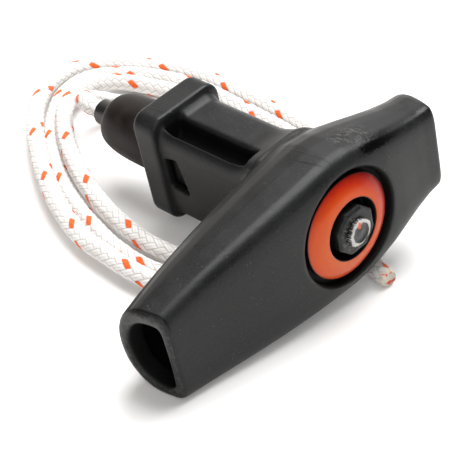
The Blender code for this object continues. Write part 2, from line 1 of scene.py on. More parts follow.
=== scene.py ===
# %% [markdown]
# # Recoil starter handle
# A pull grip for a small engine lies on a pale table with its rope in loose loops round it.
# The imported model gives every solid in metres in one frame, so nothing has to be fitted here.
# The box of that model is kept, to be printed beside the box of the dressed handle. The box of
# that model is kept, because the dressed handle has to stay inside it.

# %% Load the imported model
import math

import bmesh
import bpy
import numpy as np
from mathutils import Matrix, Vector


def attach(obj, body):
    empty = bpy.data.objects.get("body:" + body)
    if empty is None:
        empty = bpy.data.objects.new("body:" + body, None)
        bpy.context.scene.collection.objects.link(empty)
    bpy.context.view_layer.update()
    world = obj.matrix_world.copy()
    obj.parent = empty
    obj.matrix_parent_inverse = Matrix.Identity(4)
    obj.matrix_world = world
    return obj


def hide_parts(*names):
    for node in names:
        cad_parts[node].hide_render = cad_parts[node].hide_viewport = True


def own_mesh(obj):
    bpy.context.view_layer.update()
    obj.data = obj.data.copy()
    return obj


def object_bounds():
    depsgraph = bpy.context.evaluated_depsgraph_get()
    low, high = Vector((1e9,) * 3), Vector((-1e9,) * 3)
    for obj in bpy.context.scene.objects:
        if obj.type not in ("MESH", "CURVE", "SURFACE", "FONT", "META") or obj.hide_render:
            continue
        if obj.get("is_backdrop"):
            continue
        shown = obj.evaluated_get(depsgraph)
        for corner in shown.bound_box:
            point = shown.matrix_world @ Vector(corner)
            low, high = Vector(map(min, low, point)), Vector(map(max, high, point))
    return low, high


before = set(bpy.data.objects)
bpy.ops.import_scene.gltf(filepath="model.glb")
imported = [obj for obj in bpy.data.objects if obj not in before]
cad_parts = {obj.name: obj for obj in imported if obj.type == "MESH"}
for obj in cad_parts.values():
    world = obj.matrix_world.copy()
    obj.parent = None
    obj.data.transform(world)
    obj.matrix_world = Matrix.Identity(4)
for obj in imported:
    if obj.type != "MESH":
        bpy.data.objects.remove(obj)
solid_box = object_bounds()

MM = 0.001
scene = bpy.context.scene

# %% [markdown]
# ## Camera
# The photograph looks down at the handle from its front left with a long lens. A long lens has
# a small field of view, so edges stay nearly parallel. The camera is set from three directions,
# which is more exact than turning it by hand.

# %% Camera
EYE = Vector((-0.220798, -0.238798, 0.230232))
TO_THE_RIGHT = Vector((0.716935, -0.697095, 0.007927))
TO_THE_BOTTOM = Vector((-0.392653, -0.413171, -0.821653))
PICTURE_WIDTH = 470
FOCAL_PIXELS = 1600.0
SENSOR_WIDTH = 36.0

lens = bpy.data.cameras.new("camera")
lens.sensor_width = SENSOR_WIDTH
lens.lens = SENSOR_WIDTH * FOCAL_PIXELS / PICTURE_WIDTH
lens.clip_start = 0.01
lens.clip_end = 20.0
camera = bpy.data.objects.new("camera", lens)
scene.collection.objects.link(camera)
backwards = TO_THE_RIGHT.cross(-TO_THE_BOTTOM)
axes = Matrix((TO_THE_RIGHT, -TO_THE_BOTTOM, backwards)).transposed()
camera.matrix_world = Matrix.Translation(EYE) @ axes.to_4x4()
scene.camera = camera
print("lens", round(lens.lens, 1), "mm, looking along", [round(-v, 2) for v in backwards])

# %% [markdown]
# ## The rope's route
# The rope lies on the table in three loose turns under the neck and round the nose. Its route
# is a short list of points, and a centripetal Catmull-Rom curve through them gives a line
# that never overshoots between two points that lie close together. The last four points follow
# the photograph, and stop 2.7 mm before the solid's cut end.

# %% Route of the free rope
ROPE_DIAMETER = 5.0 * MM
HANDLE_ORIGIN = np.array((9.7884, -41.0070, 23.0155)) * MM
ROCK = math.radians(11.0)
LEAN = math.radians(4.2)
handle_turn = np.array(Matrix.Rotation(-LEAN, 3, "X") @ Matrix.Rotation(-ROCK, 3, "Y"))


def to_world(points):
    """Handle points to the table's frame: turn by the rest pose, then move to the ring's centre."""
    return np.asarray(points) @ handle_turn.T + HANDLE_ORIGIN


ROPE_START = 85.1 * MM
ROPE_EXIT = 7.0 * MM
ROPE_ROUTE = (
    (13.5, 58.5, 13.5), (20.5, 62.5, 9.0), (28.5, 61.5, 5.0), (35.3, 56.5, 2.9),
    (40.3, 47.0, 2.6), (42.6, 34.0, 2.6), (42.3, 15.0, 2.6), (37.5, -1.0, 2.6),
    (27.0, -8.6, 2.6), (6.0, -10.2, 2.6), (-1.2, -9.5, 2.9), (-7.7, -5.7, 4.0),
    (-10.7, 1.6, 4.9), (-10.6, 12.0, 5.0), (-8.9, 24.0, 5.6), (-4.5, 38.2, 6.4),
    (2.3, 51.8, 6.4), (8.0, 60.4, 6.8), (15.2, 68.6, 6.6), (23.8, 74.0, 5.6),
    (32.7, 75.4, 4.2), (39.3, 72.2, 3.2), (44.2, 65.0, 2.6), (47.8, 56.0, 2.6),
    (48.6, 42.0, 2.6), (47.9, 15.0, 2.6), (42.0, -5.6, 2.6), (27.0, -14.2, 2.6),
    (6.0, -15.5, 2.6), (-4.0, -14.9, 2.6), (-12.2, -10.4, 2.6), (-15.9, -0.8, 2.6),
    (-16.0, 12.0, 2.6), (-15.0, 18.0, 2.6), (-11.9, 29.6, 2.6), (-6.3, 44.3, 2.6),
    (1.6, 57.6, 2.6), (6.8, 64.8, 2.6), (14.4, 72.5, 2.6), (23.6, 79.4, 2.6),
    (33.2, 81.4, 2.6), (41.4, 77.8, 2.6), (49.4, 67.4, 2.6), (53.5, 56.0, 2.6),
    (54.2, 42.0, 2.6), (53.4, 15.0, 2.6), (46.2, -9.2, 2.6), (27.0, -19.8, 2.6),
    (6.0, -20.8, 2.55), (-6.6, -20.1, 2.6), (-16.9, -13.7, 3.2), (-20.8, -1.5, 4.4),
    (-21.1, 9.0, 4.6), (-20.6, 18.0, 4.4), (-17.2, 30.7, 5.0), (-11.2, 44.4, 5.6),
    (-3.5, 57.6, 5.8), (2.4, 66.2, 5.6), (11.5, 76.6, 5.2), (22.6, 84.5, 4.5),
    (33.5, 86.8, 3.8), (43.2, 83.3, 3.0), (54.5, 70.6, 2.6), (58.9, 58.5, 2.6),
    (60.0, 45.0, 2.6), (59.8, 25.3, 2.6), (58.7, 8.0, 2.6), (53.0, -10.5, 2.6),
    (43.6, -23.2, 2.6), (33.6, -29.6, 2.6), (26.6, -34.6, 2.6),
    (23.9, -39.0, 2.6), (23.3, -43.8, 2.6),
)


def smooth_line(route, step):
    """Centripetal Catmull-Rom curve, resampled to even steps.

    Each span blends its four nearest points with times that grow as the square root of the
    distance between them. All spans are worked out as one array.
    """
    route = np.asarray(route, float)
    knots = np.vstack([2 * route[0] - route[1], route, 2 * route[-1] - route[-2]])
    gaps = np.sqrt(np.linalg.norm(np.diff(knots, axis=0), axis=1))[:, None, None]
    p0, p1, p2, p3 = (knots[i : len(knots) - 3 + i, None] for i in range(4))
    t1, t2, t3 = gaps[:-2], gaps[:-2] + gaps[1:-1], gaps[:-2] + gaps[1:-1] + gaps[2:]
    t = t1 + (t2 - t1) * np.arange(32)[None, :, None] / 32
    a = p0 + (p1 - p0) * t / t1
    b = p1 + (p2 - p1) * (t - t1) / (t2 - t1)
    c = p2 + (p3 - p2) * (t - t2) / (t3 - t2)
    low = a + (b - a) * t / t2
    high = b + (c - b) * (t - t1) / (t3 - t1)
    line = np.vstack([(low + (high - low) * (t - t1) / (t2 - t1)).reshape(-1, 3), route[-1]])
    run = np.r_[0, np.cumsum(np.linalg.norm(np.diff(line, axis=0), axis=1))]
    even = np.linspace(0, run[-1], int(run[-1] / step) + 1)
    return np.stack([np.interp(even, run, line[:, i]) for i in range(3)], 1)


rope_exit = to_world((0.0, ROPE_START, 0.0))
rope_clear = to_world((0.0, ROPE_START + ROPE_EXIT, 0.0))
rope_line = smooth_line([rope_exit, rope_clear, *(np.array(ROPE_ROUTE) * MM)], 0.75 * MM)
rope_length = float(np.linalg.norm(np.diff(rope_line, axis=0), axis=1).sum())
print("free rope", round(rope_length, 3), "m in", len(rope_line), "steps")

# %% [markdown]
# ## Table and light
# The photograph has a white ground with soft shadows. The table adds a little light of its own
# for camera rays only, so that it turns white while the handle's shadow stays. The lamps
# stay plain, so colours render about as they are written.

# %% Shader helper
class Wire:
    """A socket that can be used in sums: every operator adds one Math node."""

    def __init__(self, tree, socket):
        self.tree = tree
        self.socket = socket

    def maths(self, operation, *values):
        return node(self.tree, "ShaderNodeMath", {"operation": operation}, *values)

    def __add__(self, other):
        return self.maths("ADD", self, other)

    def __sub__(self, other):
        return self.maths("SUBTRACT", self, other)

    def __rsub__(self, other):
        return self.maths("SUBTRACT", other, self)

    def __mul__(self, other):
        return self.maths("MULTIPLY", self, other)

    def __truediv__(self, other):
        return self.maths("DIVIDE", self, other)

    __radd__ = __add__
    __rmul__ = __mul__


def node(tree, kind, settings, *values, output=0, **named):
    """Add one node: its settings first, then the values or wires of its sockets."""
    made = tree.nodes.new(kind)
    for name, value in settings.items():
        if name == "stops":
            ramp = made.color_ramp.elements
            while len(ramp) < len(value):
                ramp.new(0.5)
            for stop, (place, colour) in zip(ramp, value):
                stop.position = place
                stop.color = (*colour, 1.0)
        else:
            setattr(made, name, value)
    for key, value in [*enumerate(values), *named.items()]:
        socket = made.inputs[key if isinstance(key, int) else key.replace("_", " ")]
        if isinstance(value, Wire):
            tree.links.new(value.socket, socket)
        else:
            socket.default_value = value
    return Wire(tree, made.outputs[output])


def new_finish(name, **constants):
    """A material with one Principled shader, whose constant values are set on its sockets."""
    finish = bpy.data.materials.new(name)
    finish.use_nodes = True
    shader = finish.node_tree.nodes["Principled BSDF"]
    for key, value in constants.items():
        shader.inputs[key.replace("_", " ")].default_value = value
    return finish, finish.node_tree, shader


def feed(tree, shader, **wires):
    """Link wires to the shader's sockets by name."""
    for key, wire in wires.items():
        tree.links.new(wire.socket, shader.inputs[key.replace("_", " ")])


def place_of(tree):
    """The point on the piece in metres."""
    return node(tree, "ShaderNodeTexCoord", {}, output="Object")


def noise(tree, at, size, detail=2.0, rough=0.5):
    """Noise whose lumps are about one size across."""
    return node(tree, "ShaderNodeTexNoise", {}, Vector=at, Scale=1.0 / size, Detail=detail, Roughness=rough)


def curve(tree, wire, low, high, start=0.0, end=1.0):
    """Map a wire from low..high to start..end with soft ends."""
    return node(tree, "ShaderNodeMapRange", {"interpolation_type": "SMOOTHSTEP"}, wire, low, high, start, end)


def fade(tree, wire, low, high):
    """1 up to low, falling to 0 at high with soft ends."""
    return curve(tree, wire, low, high, 1.0, 0.0)


def along_way(tree, wire, way):
    """How far a point lies along a direction, their dot product."""
    return node(tree, "ShaderNodeVectorMath", {"operation": "DOT_PRODUCT"}, wire, tuple(way), output="Value")


def mix_colour(tree, share, first, second):
    """Blend two colours by a share."""
    made = tree.nodes.new("ShaderNodeMix")
    made.data_type = "RGBA"
    for socket, value in ((made.inputs[0], share), (made.inputs[6], first), (made.inputs[7], second)):
        if isinstance(value, Wire):
            tree.links.new(value.socket, socket)
        elif isinstance(value, tuple):
            socket.default_value = (*value, 1.0)
        else:
            socket.default_value = value
    return Wire(tree, made.outputs[2])


def bump(tree, height, depth):
    """A Bump node for heights from 0 to 1 that stand for a depth in metres."""
    return node(tree, "ShaderNodeBump", {}, Strength=1.0, Distance=depth, Height=height)


print("shader helper ready")

# %% Table
bpy.ops.mesh.primitive_plane_add(size=6.0)
table = bpy.context.object
table.name = "table"
table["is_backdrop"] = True
table_finish = bpy.data.materials.new("white_table")
table_finish.use_nodes = True
tree = table_finish.node_tree
tree.nodes.clear()
matt = node(tree, "ShaderNodeBsdfDiffuse", {}, Color=(0.86, 0.85, 0.84, 1.0))
own_light = node(tree, "ShaderNodeEmission", {}, Color=(1.0, 1.0, 1.0, 1.0), Strength=0.10)
both = node(tree, "ShaderNodeAddShader", {}, matt, own_light)
seen = node(tree, "ShaderNodeLightPath", {}, output="Is Camera Ray")
shown = node(tree, "ShaderNodeMixShader", {}, seen, matt, both)
end = tree.nodes.new("ShaderNodeOutputMaterial")
tree.links.new(shown.socket, end.inputs["Surface"])
table.data.materials.append(table_finish)
print("table", table.dimensions[0], "m across")

# %% World and lamps
world = bpy.data.worlds.new("white_room")
scene.world = world
world.use_nodes = True
tree = world.node_tree
tree.nodes.clear()
ray = node(tree, "ShaderNodeTexCoord", {}, output="Generated")
height = node(tree, "ShaderNodeSeparateXYZ", {}, ray, output="Z")
sideways = along_way(tree, ray, TO_THE_RIGHT)
away = along_way(tree, ray, (0.70, 0.71, 0.0))
backdrop = fade(tree, height, 0.28, 0.58) * curve(tree, away, 0.1, 0.5)
room = (backdrop * 0.75 + 0.46) * curve(tree, sideways * sideways, 0.16, 0.62, 1.0, 0.10)
tint = mix_colour(tree, curve(tree, sideways, -0.6, 0.6), (1.0, 0.92, 0.84), (0.965, 0.985, 1.0))
soft_light = node(tree, "ShaderNodeBackground", {}, Color=tint, Strength=room)
white = node(tree, "ShaderNodeBackground", {}, Color=(1.0, 1.0, 1.0, 1.0), Strength=1.0)
seen = node(tree, "ShaderNodeLightPath", {}, output="Is Camera Ray")
shown = node(tree, "ShaderNodeMixShader", {}, seen, soft_light, white)
end = tree.nodes.new("ShaderNodeOutputWorld")
tree.links.new(shown.socket, end.inputs["Surface"])


def add_softbox(name, place, target, size, power):
    """A square lamp that faces a point."""
    lamp = bpy.data.lights.new(name, "AREA")
    lamp.shape = "SQUARE"
    lamp.size = size
    lamp.energy = power
    box = bpy.data.objects.new(name, lamp)
    scene.collection.objects.link(box)
    box.location = place
    box.rotation_euler = (Vector(place) - Vector(target)).to_track_quat("Z", "Y").to_euler()
    return box


add_softbox("key_softbox", (0.36, 0.15, 1.05), (0.0, 0.0, 0.0), 0.90, 23.0)
add_softbox("front_softbox", (-0.75, -0.55, 0.75), (0.0, 0.0, 0.0), 0.9, 3.5)
scene.view_settings.view_transform = "Standard"

# %% [markdown]
# ## Surfaces from arrays
# Most pieces here are a grid of points: one parameter runs round the piece and one along it.
# One helper turns such an array into a closed mesh and writes it with foreach_set, which
# is much faster than a loop over vertices.

# %% Grid helper
def grid_piece(name, rings, wrap=False):
    """A closed mesh from rings[along, round, xyz].

    Neighbouring rings are joined by quads and each ring closes on itself. The ends get a
    fan to their own middle, or join each other where wrap is set.
    """
    rings = np.asarray(rings, float)
    along, around = rings.shape[:2]
    points = rings.reshape(-1, 3)
    row = np.arange(along if wrap else along - 1)[:, None]
    col = np.arange(around)[None, :]
    right = (col + 1) % around
    after = (row + 1) % along
    quads = np.stack(np.broadcast_arrays(
        row * around + col, row * around + right, after * around + right, after * around + col
    ), -1).reshape(-1, 4)
    loops, counts = [quads.ravel()], [np.full(len(quads), 4)]
    if not wrap:
        points = np.vstack([points, rings[0].mean(0), rings[-1].mean(0)])
        one = np.arange(around)
        two = (one + 1) % around
        last = (along - 1) * around
        first_cap = np.stack([two, one, np.full(around, along * around)], -1)
        last_cap = np.stack([last + one, last + two, np.full(around, along * around + 1)], -1)
        loops += [first_cap.ravel(), last_cap.ravel()]
        counts += [np.full(around, 3), np.full(around, 3)]
    loops = np.concatenate(loops)
    counts = np.concatenate(counts)
    mesh = bpy.data.meshes.new(name)
    mesh.vertices.add(len(points))
    mesh.vertices.foreach_set("co", points.astype(np.float32).ravel())
    mesh.loops.add(len(loops))
    mesh.loops.foreach_set("vertex_index", loops.astype(np.int32))
    mesh.polygons.add(len(counts))
    mesh.polygons.foreach_set("loop_start", np.r_[0, np.cumsum(counts)[:-1]].astype(np.int32))
    mesh.update(calc_edges=True)
    mesh.validate()
    if closed_volume(mesh) < 0:
        mesh.flip_normals()
    mesh.shade_smooth()
    piece = bpy.data.objects.new(name, mesh)
    scene.collection.objects.link(piece)
    return piece


def mesh_points(mesh):
    """The corners of a mesh as an array of points."""
    points = np.empty(3 * len(mesh.vertices))
    mesh.vertices.foreach_get("co", points)
    return points.reshape(-1, 3)


def closed_volume(mesh):
    """Signed volume: a sixth of the sum over triangles of a . (b x c). Positive faces point out."""
    mesh.calc_loop_triangles()
    corners = np.empty(len(mesh.loop_triangles) * 3, np.int32)
    mesh.loop_triangles.foreach_get("vertices", corners)
    a, b, c = mesh_points(mesh)[corners].reshape(-1, 3, 3).transpose(1, 0, 2)
    return float(np.einsum("ij,ij->i", a, np.cross(b, c)).sum() / 6)


def turned_rings(profile, steps=96):
    """Carry a closed profile of (radius, run along the rope) round the rope's axis."""
    profile = np.asarray(profile, float)
    angle = np.linspace(0, 2 * np.pi, steps, endpoint=False)
    radius, run = profile[:, 0], profile[:, 1]
    rings = np.stack([
        radius[:, None] * np.cos(angle), np.broadcast_to(run[:, None], (len(run), steps)),
        radius[:, None] * np.sin(angle),
    ], -1)
    return to_world(rings)


def rounded(corners, radius, steps=5):
    """Round every corner of a closed outline with a short quadratic arc."""
    corners = np.asarray(corners, float)
    before = np.roll(corners, 1, 0)
    after = np.roll(corners, -1, 0)
    back = before - corners
    ahead = after - corners
    reach_back = np.minimum(radius, 0.45 * np.linalg.norm(back, axis=1))[:, None]
    reach_ahead = np.minimum(radius, 0.45 * np.linalg.norm(ahead, axis=1))[:, None]
    start = corners + back / np.linalg.norm(back, axis=1)[:, None] * reach_back
    stop = corners + ahead / np.linalg.norm(ahead, axis=1)[:, None] * reach_ahead
    t = np.linspace(0, 1, steps)[None, :, None]
    arc = (1 - t) ** 2 * start[:, None] + 2 * t * (1 - t) * corners[:, None] + t ** 2 * stop[:, None]
    return arc.reshape(-1, 2)


print("grid helper ready")

# %% [markdown]
# ## Grip moulding
# The grip is moulded in one piece of black glass-filled plastic. Real mouldings have a small
# radius on every edge, and that radius catches the light. A copy of the solid is merged,
# remeshed finely and relaxed a little, which rounds each edge by a few tenths of a millimetre.
# Three closed shapes are remeshed with it: two plugs end the channels at the collar's front, and
# a lip thickens the rim of the long arm's mouth, as the photograph shows them.

# %% Grip shape
COLLAR_FRONT = 50.8 * MM
COLLAR_TOP = 16.2 * MM
COLLAR_BOTTOM = -14.4 * MM
CHANNEL_LEFT = -8.3 * MM
CHANNEL_RIGHT = -1.2 * MM
CHANNEL_FLOOR_LEFT = -7.7 * MM
CHANNEL_SIDE_FOOT = 4.0 * MM
SOCKET_WALL_RADIUS = 8.7 * MM
MOUTH_PLANE = -54.25 * MM
MOUTH_SLOPE = 0.19
LIP_THICKNESS = 0.8 * MM
LIP_TOP_EXTRA = 1.0 * MM
LIP_CHAMFER = 0.6 * MM
LIP_ROOT = 0.5 * MM
GRIP_CELL = 0.40 * MM
GRIP_WELD = 0.005 * MM
GRIP_RELAX_ROUNDS = 7
GRIP_FACES_KEPT = 0.5


def collar_plug(outer):
    """A block that closes a channel inside the collar, with its floor round the nose socket.

    The floor is an arc, z = sqrt(r^2 - x^2), between the socket and the channel. Each pair is a
    ring's run past the collar's front and how far its top stays in, in millimetres, which
    rounds the front edge.
    """
    x = np.linspace(CHANNEL_FLOOR_LEFT, CHANNEL_RIGHT, 12)
    side = np.sign(outer)
    floor = side * np.sqrt(SOCKET_WALL_RADIUS ** 2 - x ** 2)
    rings = []
    for run, inset in ((0.0, 0.8), (0.24, 0.24), (0.8, 0.0), (6.2, 0.0)):
        top = outer - side * inset * MM
        roof = [(CHANNEL_RIGHT, top), (CHANNEL_LEFT, top), (CHANNEL_LEFT, side * CHANNEL_SIDE_FOOT)]
        across, up = np.vstack([np.column_stack([x, floor]), roof]).T
        rings.append(np.column_stack([across, np.full(len(up), COLLAR_FRONT + run * MM), up]))
    return grid_piece("collar_plug", to_world(np.array(rings)))


# The upper half of the mouth's inner edge, from its back to its front: along the rope, up.
MOUTH_EDGE = np.array([
    (14.5, 0.0), (14.36, 2.2), (13.9, 4.3), (13.0, 6.4), (11.5, 8.5), (9.4, 9.93), (6.8, 10.5),
    (4.4, 10.45), (3.3, 9.9), (2.75, 8.7), (2.55, 6.5), (2.42, 3.0), (2.4, 0.0),
]) * MM


def mouth_lip():
    """A closed ring that thickens the rim of the long arm's mouth, most of all at its top.

    It starts just inside the mouth's plane, x = plane - slope y, and ends 5 mm in. The edge is
    smoothed by averaging neighbours, and the lip's inner corner is chamfered.
    """
    corners = np.vstack([MOUTH_EDGE, MOUTH_EDGE[-2::-1] * (1, -1)])
    run = np.concatenate([[0], np.cumsum(np.linalg.norm(np.diff(corners, axis=0), axis=1))])
    at = np.linspace(0, run[-1], 120, endpoint=False)
    edge = np.stack([np.interp(at, run, corners[:, i]) for i in (0, 1)], 1)
    for _ in range(8):
        edge = (np.roll(edge, 1, 0) + 2 * edge + np.roll(edge, -1, 0)) / 4
    tangent = np.roll(edge, -1, 0) - np.roll(edge, 1, 0)
    tangent /= np.linalg.norm(tangent, axis=1)[:, None]
    outwards = np.stack([tangent[:, 1], -tangent[:, 0]], 1)
    thickness = LIP_THICKNESS + LIP_TOP_EXTRA * np.clip(outwards[:, 1:], 0, 1)
    inner = edge - outwards * thickness
    chamfer = edge - outwards * (thickness - LIP_CHAMFER)
    outer = edge + outwards * LIP_ROOT
    rings = []
    for ring, deep in ((chamfer, 0.1), (outer, 0.1), (outer, 5.0), (inner, 5.0), (inner, 0.7)):
        y, z = ring.T
        rings.append(np.column_stack([MOUTH_PLANE - MOUTH_SLOPE * y + deep * MM, y, z]))
    return grid_piece("mouth_lip", to_world(np.array(rings)), wrap=True)


def soften(node_name, piece_name, plugs):
    """A merged copy of a solid, remeshed to small cells and relaxed, with its edges rounded.

    The cells are laid along the handle's own axes, so that straight edges stay straight. Only
    a share of the faces is kept, so that the flat parts carry few of them.
    """
    shape = bmesh.new()
    shape.from_mesh(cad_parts[node_name].data)
    for plug in plugs:
        shape.from_mesh(plug.data)
        bpy.data.objects.remove(plug)
    place = Matrix.Translation(HANDLE_ORIGIN) @ Matrix(handle_turn.tolist()).to_4x4()
    shape.transform(place.inverted())
    mesh = bpy.data.meshes.new(piece_name)
    shape.to_mesh(mesh)
    shape.free()
    piece = bpy.data.objects.new(piece_name, mesh)
    scene.collection.objects.link(piece)
    weld = piece.modifiers.new("weld", "WELD")
    weld.merge_threshold = GRIP_WELD
    cells = piece.modifiers.new("cells", "REMESH")
    cells.mode = "VOXEL"
    cells.voxel_size = GRIP_CELL
    cells.use_smooth_shade = True
    relax = piece.modifiers.new("relax", "SMOOTH")
    relax.factor = 0.5
    relax.iterations = GRIP_RELAX_ROUNDS
    fewer = piece.modifiers.new("fewer", "DECIMATE")
    fewer.ratio = GRIP_FACES_KEPT
    graph = bpy.context.evaluated_depsgraph_get()
    finished = bpy.data.meshes.new_from_object(piece.evaluated_get(graph))
    finished.transform(place)
    piece.modifiers.clear()
    piece.data = finished
    finished.materials.clear()
    finished.shade_smooth()
    return piece


added = [collar_plug(COLLAR_TOP), collar_plug(COLLAR_BOTTOM), mouth_lip()]
grip = soften("grip_body", "grip_moulding", added)
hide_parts("grip_body")
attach(grip, "grip")
print("grip moulding:", len(grip.data.polygons), "faces")

# %% Grip finish
def handle_place(tree):
    """The point in the handle's own frame: along the bar, along the rope, up."""
    at = place_of(tree)
    shift = node(tree, "ShaderNodeVectorMath", {"operation": "SUBTRACT"}, at, tuple(HANDLE_ORIGIN))
    return [along_way(tree, shift, handle_turn[:, i]) for i in range(3)]


def from_rope(bar_x, up_z):
    """Distance from the rope's axis, sqrt(x^2 + z^2)."""
    squares = bar_x * bar_x + up_z * up_z
    return squares.maths("SQRT", squares)


def spokes(tree, bar_x, up_z, size):
    """Noise drawn out into spokes from the rope's axis, each about a size in radians wide."""
    turn = bar_x.maths("ARCTAN2", up_z, bar_x)
    spread = node(tree, "ShaderNodeCombineXYZ", {}, turn, from_rope(bar_x, up_z) * 60.0, 0.0)
    return noise(tree, spread, size, 2.0, 0.6)


def blot(tree, along_bar, along_rope, up, centre, size):
    """1 at a centre in the handle's frame, falling to 0 at a size away from it."""
    far = 0.0
    for part, middle, reach in zip((along_bar, along_rope, up), centre, size):
        off = (part - middle) / reach
        far = off * off + far
    return fade(tree, far, 0.0, 1.0)


plastic, tree, shader = new_finish("black_moulded_plastic", Specular_IOR_Level=0.19)
at = place_of(tree)
bar_x, rope_y, up_z = handle_place(tree)
cloud = noise(tree, at, 9 * MM, 4.0, 0.6)
grain = noise(tree, at, 0.45 * MM, 3.0, 0.6)
fine = noise(tree, at, 0.12 * MM, 2.0)
dark, light = (0.0090, 0.0092, 0.0096), (0.0130, 0.0134, 0.0142)
base = mix_colour(tree, curve(tree, cloud, 0.35, 0.65), dark, light)
base = mix_colour(tree, curve(tree, grain, 0.35, 0.68) * 0.5, base, (0.024, 0.0245, 0.025))
specks = curve(tree, noise(tree, at, 0.36 * MM, 0.0), 0.78, 0.82)
rare = curve(tree, noise(tree, at, 4.0 * MM, 1.0), 0.55, 0.63)
base = mix_colour(tree, specks * rare * 0.5, base, (0.16, 0.16, 0.16))

# Pale scuffs on top of the bar, in fine broken strokes that run towards the label.
scuff_middle = (10.5 * MM, 5.5 * MM, 17.3 * MM)
scuff_zone = blot(tree, bar_x, rope_y, up_z, scuff_middle, (7.5 * MM, 5.5 * MM, 5.0 * MM))
stretched = node(tree, "ShaderNodeCombineXYZ", {}, bar_x * 2.2, rope_y * 0.7, up_z)
streaks = noise(tree, stretched, 1.1 * MM, 4.0, 0.75)
scuffs = curve(tree, streaks, 0.52, 0.62) * scuff_zone
base = mix_colour(tree, scuffs * 0.5, base, (0.17, 0.165, 0.16))

# A painted dark reflection runs out along the edge of the short arm and breaks up at its start. Along the
# same streak the plastic is a little smoother and lower.
edge_height = up_z - 17.3 * MM + bar_x * 0.150
edge_depth = rope_y + 0.8 * MM - bar_x * 0.085
ragged = noise(tree, stretched, 1.6 * MM, 5.0, 0.7) - 0.5
drawn_along, drawn_across = bar_x * 0.45 + rope_y * 0.5, rope_y * 2.0 - bar_x * 0.8
drawn = node(tree, "ShaderNodeCombineXYZ", {}, drawn_along, drawn_across, up_z * 2.4)
strokes = noise(tree, drawn, 0.9 * MM, 4.0, 0.7) - 0.5
band = edge_height * (1.0 / (1.5 * MM)) + ragged * 1.0 + strokes * 1.8
depth = edge_depth * (1.0 / (2.8 * MM))
near_edge = fade(tree, band * band + depth * depth, 0.25, 1.25)
started = curve(tree, bar_x + strokes * (14.0 * MM), 6.5 * MM, 9.5 * MM)
fading = curve(tree, bar_x, 13.0 * MM, 24.0 * MM, 1.0, 0.45)
dark_reflection_streak = near_edge * started * fading
# Painted dark reflection on the short arm's edge.
base = mix_colour(tree, dark_reflection_streak * 0.95, base, (0.0015, 0.0015, 0.0016))

# The rims of the two arm ends are rubbed paler, and a painted shadow line runs behind the long arm's rim.
end_depth = bar_x + rope_y * MOUTH_SLOPE - MOUTH_PLANE
rim = fade(tree, end_depth, 0.25 * MM, 0.55 * MM) + curve(tree, bar_x, 33.5 * MM, 34.2 * MM)
line_place = (end_depth - 1.0 * MM) * (1.0 / (0.28 * MM)) + ragged * 0.8
end_shadow_line = fade(tree, line_place * line_place, 0.3, 1.2) * curve(tree, up_z, 7.5 * MM, 10.0 * MM)
# Painted shadow line behind the long arm's rim.
base = mix_colour(tree, end_shadow_line * 0.9, base, (0.0015, 0.0015, 0.0015))
base = mix_colour(tree, rim * curve(tree, streaks, 0.40, 0.60) * 0.7, base, (0.055, 0.055, 0.055))

# One fine scratch runs across the top of the bar towards the label.
scratch_off = (bar_x + 4.8 * MM) * 0.962 + (rope_y - 8.9 * MM) * 0.271
scratch_off = scratch_off * (1.0 / (0.20 * MM)) + ragged * 2.5
scratch = fade(tree, scratch_off * scratch_off, 0.2, 1.2) * curve(tree, up_z, 12 * MM, 14 * MM)
scratch = scratch * curve(tree, rope_y, 1.4 * MM, 2.6 * MM) * fade(tree, rope_y, 7.5 * MM, 9.5 * MM)
long_way = node(tree, "ShaderNodeCombineXYZ", {}, bar_x * 0.16, rope_y * 1.3, up_z * 1.9 + bar_x * 0.4)
hairs = noise(tree, long_way, 0.5 * MM, 3.0, 0.6)
hairs = curve(tree, hairs, 0.66, 0.72) * curve(tree, cloud, 0.42, 0.60)
base = mix_colour(tree, hairs * 0.30, base, (0.075, 0.075, 0.075))
base = mix_colour(tree, scratch * 0.9, base, (0.002, 0.002, 0.002))

# No light reaches the walls of the recess, the channels and the long arm's pocket, so they are
# left quite black. The pocket's section is a squarish oval that widens inwards.
out = from_rope(bar_x, up_z)
recess = fade(tree, out, 15.0 * MM, 15.4 * MM) * fade(tree, rope_y, 4.0 * MM, 6.0 * MM)
off_channel = bar_x - 0.5 * (CHANNEL_LEFT + CHANNEL_RIGHT)
channel = fade(tree, off_channel * off_channel, (3.3 * MM) ** 2, (4.7 * MM) ** 2)
channel = channel * fade(tree, up_z * up_z, (12.4 * MM) ** 2, (14.0 * MM) ** 2)
channel = channel * curve(tree, rope_y, 22.8 * MM, 24.0 * MM)
channel = channel * fade(tree, rope_y, COLLAR_FRONT + 0.2 * MM, COLLAR_FRONT + 0.5 * MM)
inwards = bar_x + 55.0 * MM
pocket_up = up_z / (inwards * 0.10 + 11.1 * MM)
pocket_run = (rope_y - inwards * 0.08 - 8.7 * MM) / (inwards * 0.12 + 6.9 * MM)
square_up, square_run = pocket_up * pocket_up, pocket_run * pocket_run
pocket = fade(tree, square_up * square_up + square_run * square_run, 1.0, 1.15)
pocket = pocket * curve(tree, end_depth, 0.45 * MM, 0.9 * MM)
pocket = pocket * fade(tree, bar_x, -28.0 * MM, -24.0 * MM)
unlit = recess + channel + pocket
base = mix_colour(tree, unlit * 0.95, base, (0.0008, 0.0008, 0.0008))
satin = curve(tree, cloud, 0.3, 0.7, 0.32, 0.42) + scuffs * 0.2 - dark_reflection_streak * 0.17
satin = satin + (grain - 0.5) * 0.12 + unlit * 0.3
line_off = (bar_x + 0.6 * MM + rope_y * 0.09) * (1.0 / (0.20 * MM))
parting = fade(tree, line_off * line_off, 0.0, 1.0) * curve(tree, up_z, 10 * MM, 14 * MM)
relief = grain * 0.55 + fine * 0.25 + parting * 1.2 - dark_reflection_streak * 0.6 - scuffs * 0.5 - scratch * 2.0
feed(tree, shader, Base_Color=base, Roughness=satin, Normal=bump(tree, relief, 0.024 * MM))
grip.data.materials.append(plastic)
print("grip finish:", len(tree.nodes), "nodes")
